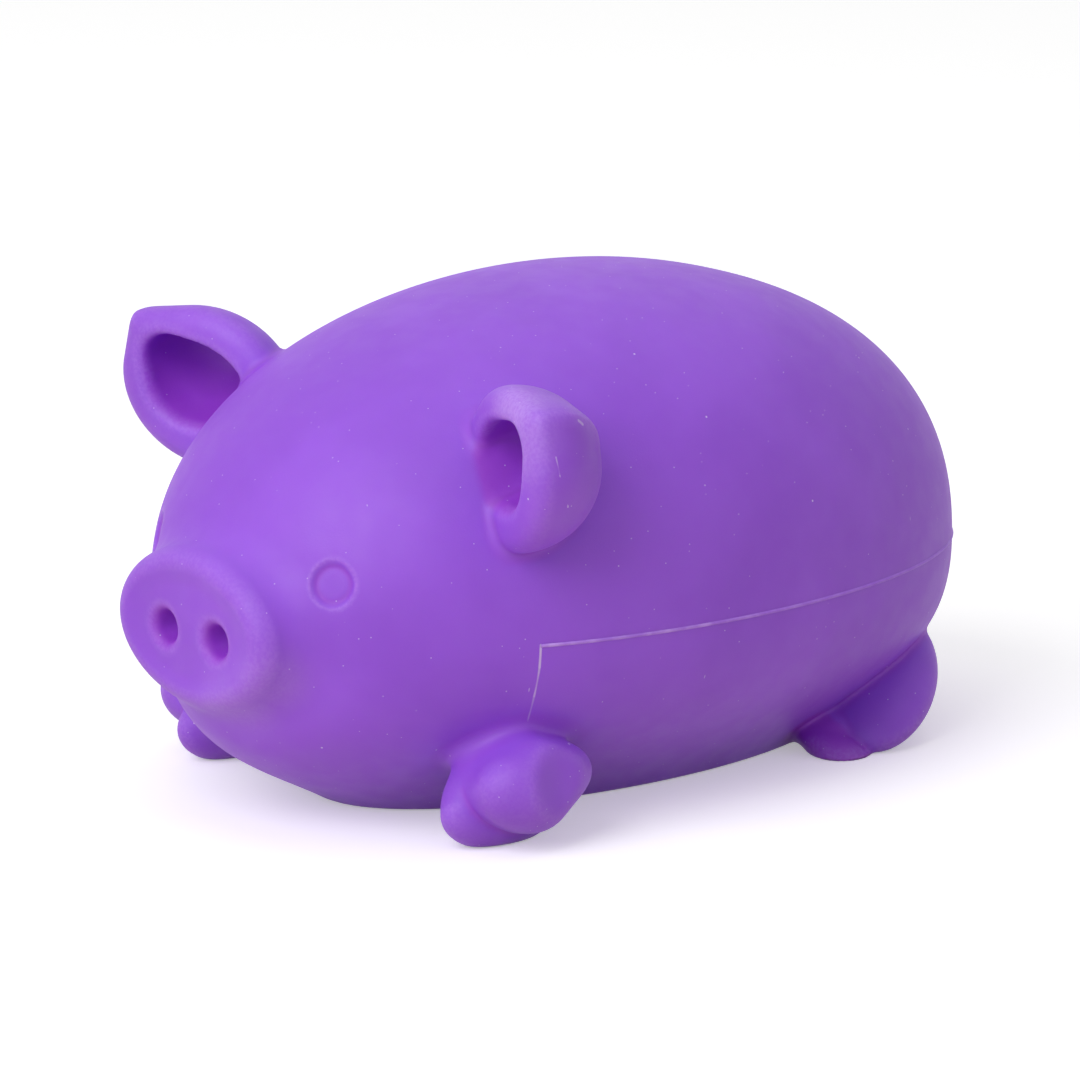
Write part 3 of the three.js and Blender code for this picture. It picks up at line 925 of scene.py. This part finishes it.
def dust_and_sheen_film(tree, place, grain):
    """Dust and, on the near ear, a painted highlight, thicker where the grain is coarse."""
    dust_and_sheen = 0.0
    for middle, radius, strength in DUST_AND_SHEEN_PATCHES:
        here = math(tree, "MULTIPLY", patch_mask(tree, place, middle, radius), strength)
        dust_and_sheen = math(tree, "MAXIMUM", dust_and_sheen, here)
    thick = math(tree, "ADD", math(tree, "MULTIPLY", grain, DUST_AND_SHEEN_GRAIN), DUST_AND_SHEEN_BASE)
    return math(tree, "MULTIPLY", dust_and_sheen, thick)


def pale_marks(tree, place):
    marks = 0.0
    for squeeze, spacing, radius, kept, strength in SPECKS:
        squeezed = vector_math(tree, "MULTIPLY", place, squeeze)
        specks = speck_mask(tree, squeezed, spacing, radius, kept)
        marks = math(tree, "MAXIMUM", marks, math(tree, "MULTIPLY", specks, strength))
    for start, end, half_width, strength in FINE_MARKS:
        line = line_mask(tree, place, start, end, half_width)
        marks = math(tree, "MAXIMUM", marks, math(tree, "MULTIPLY", line, strength))
    return math(tree, "MULTIPLY", marks, MARK_SHARE)


def rubber_material():
    material, tree = new_material("soft_purple_rubber")
    place = remembered(tree, "rest_place", "Vector")
    cloud = ramp(tree, noise(tree, place, *CLOUD), *CLOUD_RANGE)
    colour = mix_colours(tree, cloud, RUBBER_DEEP, RUBBER_LIGHT)
    # Painted shade in the hollows, the creases and behind the rear toe.
    colour = mix_colours(tree, remembered(tree, "painted_shade"), colour, RUBBER_PAINTED_SHADE)
    grain = ramp(tree, noise(tree, place, *GRAIN), *NOISE_RANGE)
    # Wear with a painted sheen on the bulges, more where the grain is coarse.
    wear_and_sheen_share = ramp(tree, grain, 0.0, 1.0, *WEAR_AND_SHEEN_SHARES)
    wear_and_sheen = math(tree, "MULTIPLY", remembered(tree, "wear_and_sheen"), wear_and_sheen_share)
    colour = mix_colours(tree, wear_and_sheen, colour, RUBBER_DUST_AND_SHEEN)
    # Dust, and on the near ear's top a painted highlight.
    colour = mix_colours(tree, dust_and_sheen_film(tree, place, grain), colour, RUBBER_DUST_AND_SHEEN)
    colour = mix_colours(tree, pale_marks(tree, place), colour, SPECK_WHITE)
    broad = math(tree, "MULTIPLY", noise(tree, place, *BROAD_RELIEF), BROAD_SHARE)
    height = math(tree, "ADD", noise(tree, place, *FINE_RELIEF), broad)
    dress(tree, {
        "Base Color": colour,
        "Roughness": ramp(tree, noise(tree, place, *SATIN), *NOISE_RANGE, *SATIN_ROUGHNESS),
        "IOR": 1.5,
        "Subsurface Weight": 0.4,
        "Subsurface Scale": 0.0018,
        "Subsurface Radius": (1.0, 0.3, 0.8),
        "Normal": relief(tree, height, strength=0.25, distance=0.00006),
    })
    return material


rubber = rubber_material()
print(rubber.name, "has", len(rubber.node_tree.nodes), "nodes")

# %% [markdown]
# ## The parting line's and the filling's finish
# A moulding's parting line stands up a hair and is rubbed pale, most at its front end. Its pale
# colour is also a painted highlight, where the ridge catches the light. The filling is a dough of
# starch, matt and lumpy. It is hidden, but it is there when the toy is opened.

# %% The other two finishes
PARTING_PALE = (0.62, 0.40, 0.90, 1)
# How pale the line is, rubbed and with a painted highlight, along the toy and in patches.
RUBBED_AND_SHEEN_ALONG, RUBBED_AND_SHEEN_SHARES = (-32.0, 30.0), (0.75, 0.2)
RUBBED_AND_SHEEN_PATCHES, PATCH_SHARES = (0.5, 3.0), (0.35, 1.0)
DOUGH_DEEP, DOUGH_PALE = (0.72, 0.66, 0.55, 1), (0.82, 0.78, 0.70, 1)
DOUGH_LUMPS, DOUGH_CRUMBS = (0.4, 4.0), (1.5, 4.0)


def parting_material():
    material, tree = new_material("rubbed_parting_line_with_highlight")
    place = remembered(tree, "rest_place", "Vector")
    along = add_node(tree, "SeparateXYZ", {"Vector": place})["Y"]
    # Rubbed pale and a painted highlight, most towards the front end.
    forward = ramp(tree, along, *RUBBED_AND_SHEEN_ALONG, *RUBBED_AND_SHEEN_SHARES)
    patches = ramp(tree, noise(tree, place, *RUBBED_AND_SHEEN_PATCHES), *NOISE_RANGE, *PATCH_SHARES)
    rubbed_and_sheen = math(tree, "MULTIPLY", forward, patches)
    colour = mix_colours(tree, rubbed_and_sheen, RUBBER_LIGHT, PARTING_PALE)
    dress(tree, {"Base Color": colour, "Roughness": 0.5, "IOR": 1.42})
    return material


def dough_material():
    material, tree = new_material("starch_dough")
    place = remembered(tree, "rest_place", "Vector")
    lumps = ramp(tree, noise(tree, place, *DOUGH_LUMPS), *NOISE_RANGE)
    colour = mix_colours(tree, lumps, DOUGH_DEEP, DOUGH_PALE)
    crumbs = relief(tree, noise(tree, place, *DOUGH_CRUMBS), strength=0.4, distance=0.0003)
    dress(tree, {"Base Color": colour, "Roughness": 0.85, "Normal": crumbs})
    return material


parting = parting_material()
dough = dough_material()
print("finishes:", rubber.name, parting.name, dough.name)


# %% [markdown]
# ## The skin
# The mesh is parted where an ear leaves the head, because each ear bends about its own joint. Both
# sides of the cut share their normals, so it can't be seen.


def squeezable(piece):
    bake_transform(piece)


ear_faces = {}
on_head = np.ones(len(faces), bool)
for side, name in ((1, "left"), (-1, "right")):
    beyond = ear(vertices, side) < egg(vertices)
    of_ear = beyond[faces].all(axis=1)
    ear_faces[name] = faces[of_ear]
    on_head &= ~of_ear

skin_piece = add_piece("pig_skin", vertices, faces[on_head], rubber, normals)
squeezable(skin_piece)
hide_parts("back_skin", "belly_skin", "snout", "front_left_foot",
            "front_right_foot", "rear_left_foot", "rear_right_foot")

# %% [markdown]
# ## The ears
# Each ear is its own piece, cut from the skin's net with the skin's normals, and its CAD part is
# hidden.

# %% The ears
for side, name in ((1, "left"), (-1, "right")):
    piece = add_piece(f"cupped_ear_{name}", vertices, ear_faces[name], rubber, normals)
    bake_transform(piece)
    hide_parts(f"ear_{name}")

# %% [markdown]
# ## The tail
# The tail is a short curl. A spiral path with a round section that gets thinner is the plain way
# to make it: rings of vertices are set square to the path and joined to a tube with a round end.

# %% A tube along a path
def turns(sides):
    return 2 * np.pi * np.arange(sides) / sides


def ring_quads(rings, sides):
    """Quads between rings of vertices that follow one another."""
    quads = []
    for start in range(0, (rings - 1) * sides, sides):
        for k in range(sides):
            n = (k + 1) % sides
            quads.append((start + k, start + n, start + sides + n, start + sides + k))
    return quads


def tube(path, radii, sides):
    """Rings of vertices along a path, closed at its far end."""
    along = unit(np.gradient(path, axis=0))
    vertices = []
    across = np.cross(along[0], (0.0, 0.0, 1.0))
    for middle, way, radius in zip(path, along, radii):
        across = unit(across - way * (across @ way))
        other = np.cross(way, across)
        for a in turns(sides):
            vertices.append(middle + radius * (np.cos(a) * across + np.sin(a) * other))
    end = tuple(range((len(path) - 1) * sides, len(path) * sides))
    return vertices, ring_quads(len(path), sides) + [end]


print("three rings of six vertices need", len(ring_quads(3, 6)), "quads")

# %% The tail
TAIL_HEIGHT, TAIL_CURL, TAIL_TURNS = 29, 2.7, 1.25
TAIL_SUNK, TAIL_TIP_GAP = 2.2, 1.4
TAIL_ROOT_RADIUS, TAIL_TIP_RADIUS, TAIL_CLOSED = 2.1, 1.4, 0.02
TAIL_FLARE, TAIL_FLARE_SHARE = 0.9, 0.07
TAIL_POINTS, TAIL_END_POINTS, TAIL_SIDES = 60, 8, 16
_, tail_high = node_box("tail")
share = np.linspace(0, 1, TAIL_POINTS)
turn = 2 * np.pi * TAIL_TURNS * share
tail_start = back_high[1] - TAIL_SUNK
tail_end = tail_high[1] - TAIL_TIP_GAP
tail_path = np.stack([TAIL_CURL * np.sin(turn), tail_start + (tail_end - tail_start) * share,
                      TAIL_HEIGHT - TAIL_CURL * np.cos(turn)], axis=1)
tail_radii = TAIL_ROOT_RADIUS + (TAIL_TIP_RADIUS - TAIL_ROOT_RADIUS) * share
tail_radii += TAIL_FLARE * np.exp(-((share / TAIL_FLARE_SHARE) ** 2))
end_turn = np.linspace(0, 1, TAIL_END_POINTS)[1:] * np.pi / 2
end_way = unit(tail_path[-1] - tail_path[-2]) * TAIL_TIP_RADIUS
end_path = tail_path[-1] + end_way * np.sin(end_turn)[:, None]
end_radii = TAIL_TIP_RADIUS * np.maximum(np.cos(end_turn), TAIL_CLOSED)
tail_path = np.concatenate([tail_path, end_path])
tail_radii = np.concatenate([tail_radii, end_radii])
tail_piece = add_piece("curled_tail", *tube(tail_path, tail_radii, TAIL_SIDES), rubber)
squeezable(tail_piece)
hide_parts("tail")


# %% [markdown]
# ## The parting line
# Where the two halves of the mould met, a fine ridge runs along the flank at half height. It is
# real relief, a sixth of a millimetre high, so it is a narrow strip of faces laid on the skin.

# %% The parting line
FLANK_BEYOND = 42.0
RIDGE_HALF_WIDTH, RIDGE_RISE = 0.22, 0.16
RIDGE_PROFILE = ((-1.0, -0.08), (-0.5, 0.6), (0.0, 1.0), (0.5, 0.6), (1.0, -0.08))
SEAM_START_Y, SEAM_END_ANGLE, SEAM_POINTS = -30.35, 88, 200


def flank_place(side, y, z):
    x = halve(lambda x: egg(np.stack([x, y, z], axis=-1)) < 0, np.zeros_like(y), FLANK_BEYOND)
    return np.stack([side * x, y, z], axis=-1)


def ridge(path, name):
    outward = unit(slope(egg, path))
    across = np.cross(outward, unit(np.gradient(path, axis=0)))
    rows = [path + across * RIDGE_HALF_WIDTH * a + outward * RIDGE_RISE * h
            for a, h in RIDGE_PROFILE]
    count = len(path)
    faces = [(r * count + i, (r + 1) * count + i, (r + 1) * count + i + 1, r * count + i + 1)
             for r in range(len(rows) - 1) for i in range(count - 1)]
    piece = add_piece(name, np.concatenate(rows), faces, parting)
    squeezable(piece)


seam_start = np.arcsin((SEAM_START_Y - BODY_MIDDLE_Y) / BODY_HALF_LENGTH)
seam_turn = np.linspace(seam_start, np.radians(SEAM_END_ANGLE), SEAM_POINTS)
seam_y = BODY_MIDDLE_Y + BODY_HALF_LENGTH * np.sin(seam_turn)
for side, name in ((1, "left"), (-1, "right")):
    seam_path = flank_place(side, seam_y, np.full_like(seam_y, SEAM_HEIGHT))
    ridge(seam_path, f"parting_line_{name}")

# %% [markdown]
# ## The filling
# Such a toy is filled with a soft dough. It has the body's own shape, drawn in by the skin's wall,
# and is found by looking outwards from the middle until the wall is reached.

# %% The filling
FILLING_RINGS, FILLING_SIDES, FILLING_END = 40, 48, 0.02
FILLING_WALL, FILLING_FLOOR = 3.0, 3.0
FILLING_BEYOND = 60.0
filling_low, filling_high = node_box("soft_filling")


def in_filling(points):
    return (egg(points) < -FILLING_WALL) & (points[:, 2] > FILLING_FLOOR)


def inner_egg():
    """Vertices and faces of the filling."""
    directions = []
    for u in -np.cos(np.linspace(0, np.pi, FILLING_RINGS + 1)):
        ring = max(np.sqrt(max(1 - u * u, 0)), FILLING_END)
        directions += [(ring * np.cos(a), u, ring * np.sin(a)) for a in turns(FILLING_SIDES)]
    directions = np.array(directions)
    middle = (filling_low + filling_high) / 2
    middle[2] = SEAM_HEIGHT
    start = np.zeros((len(directions), 1))
    reach = halve(lambda r: in_filling(middle + directions * r)[:, None], start, FILLING_BEYOND)
    faces = [(a, d, c, b) for a, b, c, d in ring_quads(FILLING_RINGS + 1, FILLING_SIDES)]
    last = FILLING_RINGS * FILLING_SIDES
    faces.append(tuple(range(FILLING_SIDES)))
    faces.append(tuple(reversed(range(last, last + FILLING_SIDES))))
    return middle + directions * reach, faces


filling_piece = add_piece("dough_filling", *inner_egg(), dough)
squeezable(filling_piece)
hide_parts("soft_filling")

# %% [markdown]
# ## The filler plug
# The dough goes in through a round hole below, which a rubber plug closes. A turned profile, swung
# round an upright axis, gives a disc with rounded edges and a shallow dimple from its moulding.

# %% The filler plug
PLUG_LOW, PLUG_HIGH = node_box("filler_plug")
PLUG_RADIUS = 6.4
PLUG_EDGE, PLUG_EDGE_POINTS = 0.5, 6
PLUG_AXIS_RADIUS = 0.01
PLUG_DIMPLE = ((PLUG_AXIS_RADIUS, 0.35), (1.6, 0.21), (2.6, 0.04))
PLUG_SIDES = 64


def turned_plug():
    """Vertices and faces of the plug."""
    flat = PLUG_RADIUS - PLUG_EDGE
    below, above = PLUG_LOW[2] + PLUG_EDGE, PLUG_HIGH[2] - PLUG_EDGE
    edge = np.linspace(0, np.pi / 2, PLUG_EDGE_POINTS)
    profile = [(radius, PLUG_LOW[2] + rise) for radius, rise in PLUG_DIMPLE]
    profile += [(flat + PLUG_EDGE * np.sin(a), below - PLUG_EDGE * np.cos(a)) for a in edge]
    profile += [(flat + PLUG_EDGE * np.cos(a), above + PLUG_EDGE * np.sin(a)) for a in edge]
    profile += [(PLUG_AXIS_RADIUS, PLUG_HIGH[2])]
    x, y = PLUG_MIDDLE
    vertices = [(x + radius * np.cos(a), y + radius * np.sin(a), z)
                for radius, z in profile for a in turns(PLUG_SIDES)]
    return vertices, ring_quads(len(profile), PLUG_SIDES)


plug_piece = add_piece("filler_plug_disc", *turned_plug(), rubber)
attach(plug_piece, "belly")
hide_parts("filler_plug")


# %% [markdown]
# ## The studio
# The photograph has plain white round the toy. To the camera, floor and room are white, and the
# floor keeps a soft shadow. The toy itself gets a warm white from the floor and only a part of the
# room's light. The Light Path node tells one from the other.

# %% The floor and the room
FLOOR_SIZE, FLOOR_GLOW = 6, 0.36
FLOOR_SEEN, FLOOR_BOUNCE = (0.9, 0.9, 0.9, 1), (0.83, 0.71, 0.63, 1)
WORLD_FILL = 0.47


def seen_rays(tree):
    """1 for what the camera sees, straight or in a gloss, and 0 for light on the toy."""
    path = add_node(tree, "LightPath", {})
    gloss = math(tree, "MAXIMUM", path["Is Glossy Ray"], path["Is Transmission Ray"])
    return math(tree, "MAXIMUM", path["Is Camera Ray"], gloss)


def backdrop_material():
    material, tree = new_material("white_backdrop")
    seen = seen_rays(tree)
    dress(tree, {
        "Base Color": mix_colours(tree, seen, FLOOR_BOUNCE, FLOOR_SEEN),
        "Roughness": 0.9,
        "Emission Color": (1, 1, 1, 1),
        "Emission Strength": math(tree, "MULTIPLY", seen, FLOOR_GLOW),
    })
    return material


bpy.ops.mesh.primitive_plane_add(size=FLOOR_SIZE, location=(0, 0, 0))
floor = bpy.context.object
floor.name = "floor"
floor.data.materials.append(backdrop_material())

world = bpy.data.worlds.new("studio")
bpy.context.scene.world = world
world.use_nodes = True
room = world.node_tree
strength = math(room, "ADD", math(room, "MULTIPLY", seen_rays(room), 1 - WORLD_FILL), WORLD_FILL)
fill(room, room.nodes["Background"], {"Color": (1, 1, 1, 1), "Strength": strength})
print(f"light from the room: {WORLD_FILL:.0%}")

# %% [markdown]
# ## The lamps
# One large soft box stands in front, above and to the left, and a smaller one hangs overhead.
# Large lamps give the soft shading of the photograph.

# %% The lamps
LAMP_AIM = (0, 0, 0.03)


def soft_box(name, place, size, power):
    light = bpy.data.lights.new(name, "AREA")
    light.size = size
    light.energy = power
    lamp = bpy.data.objects.new(name, light)
    lamp.location = place
    lamp.rotation_mode = "QUATERNION"
    lamp.rotation_quaternion = (Vector(LAMP_AIM) - Vector(place)).to_track_quat("-Z", "Y")
    bpy.context.collection.objects.link(lamp)
    print(f"{name} lamp: {size} m wide, {power} W")


soft_box("key", place=(0.14, -0.84, 0.69), size=0.8, power=6.8)
soft_box("top", place=(0.0, 0.0, 0.95), size=0.7, power=1.2)
bpy.context.scene.view_settings.view_transform = "Standard"
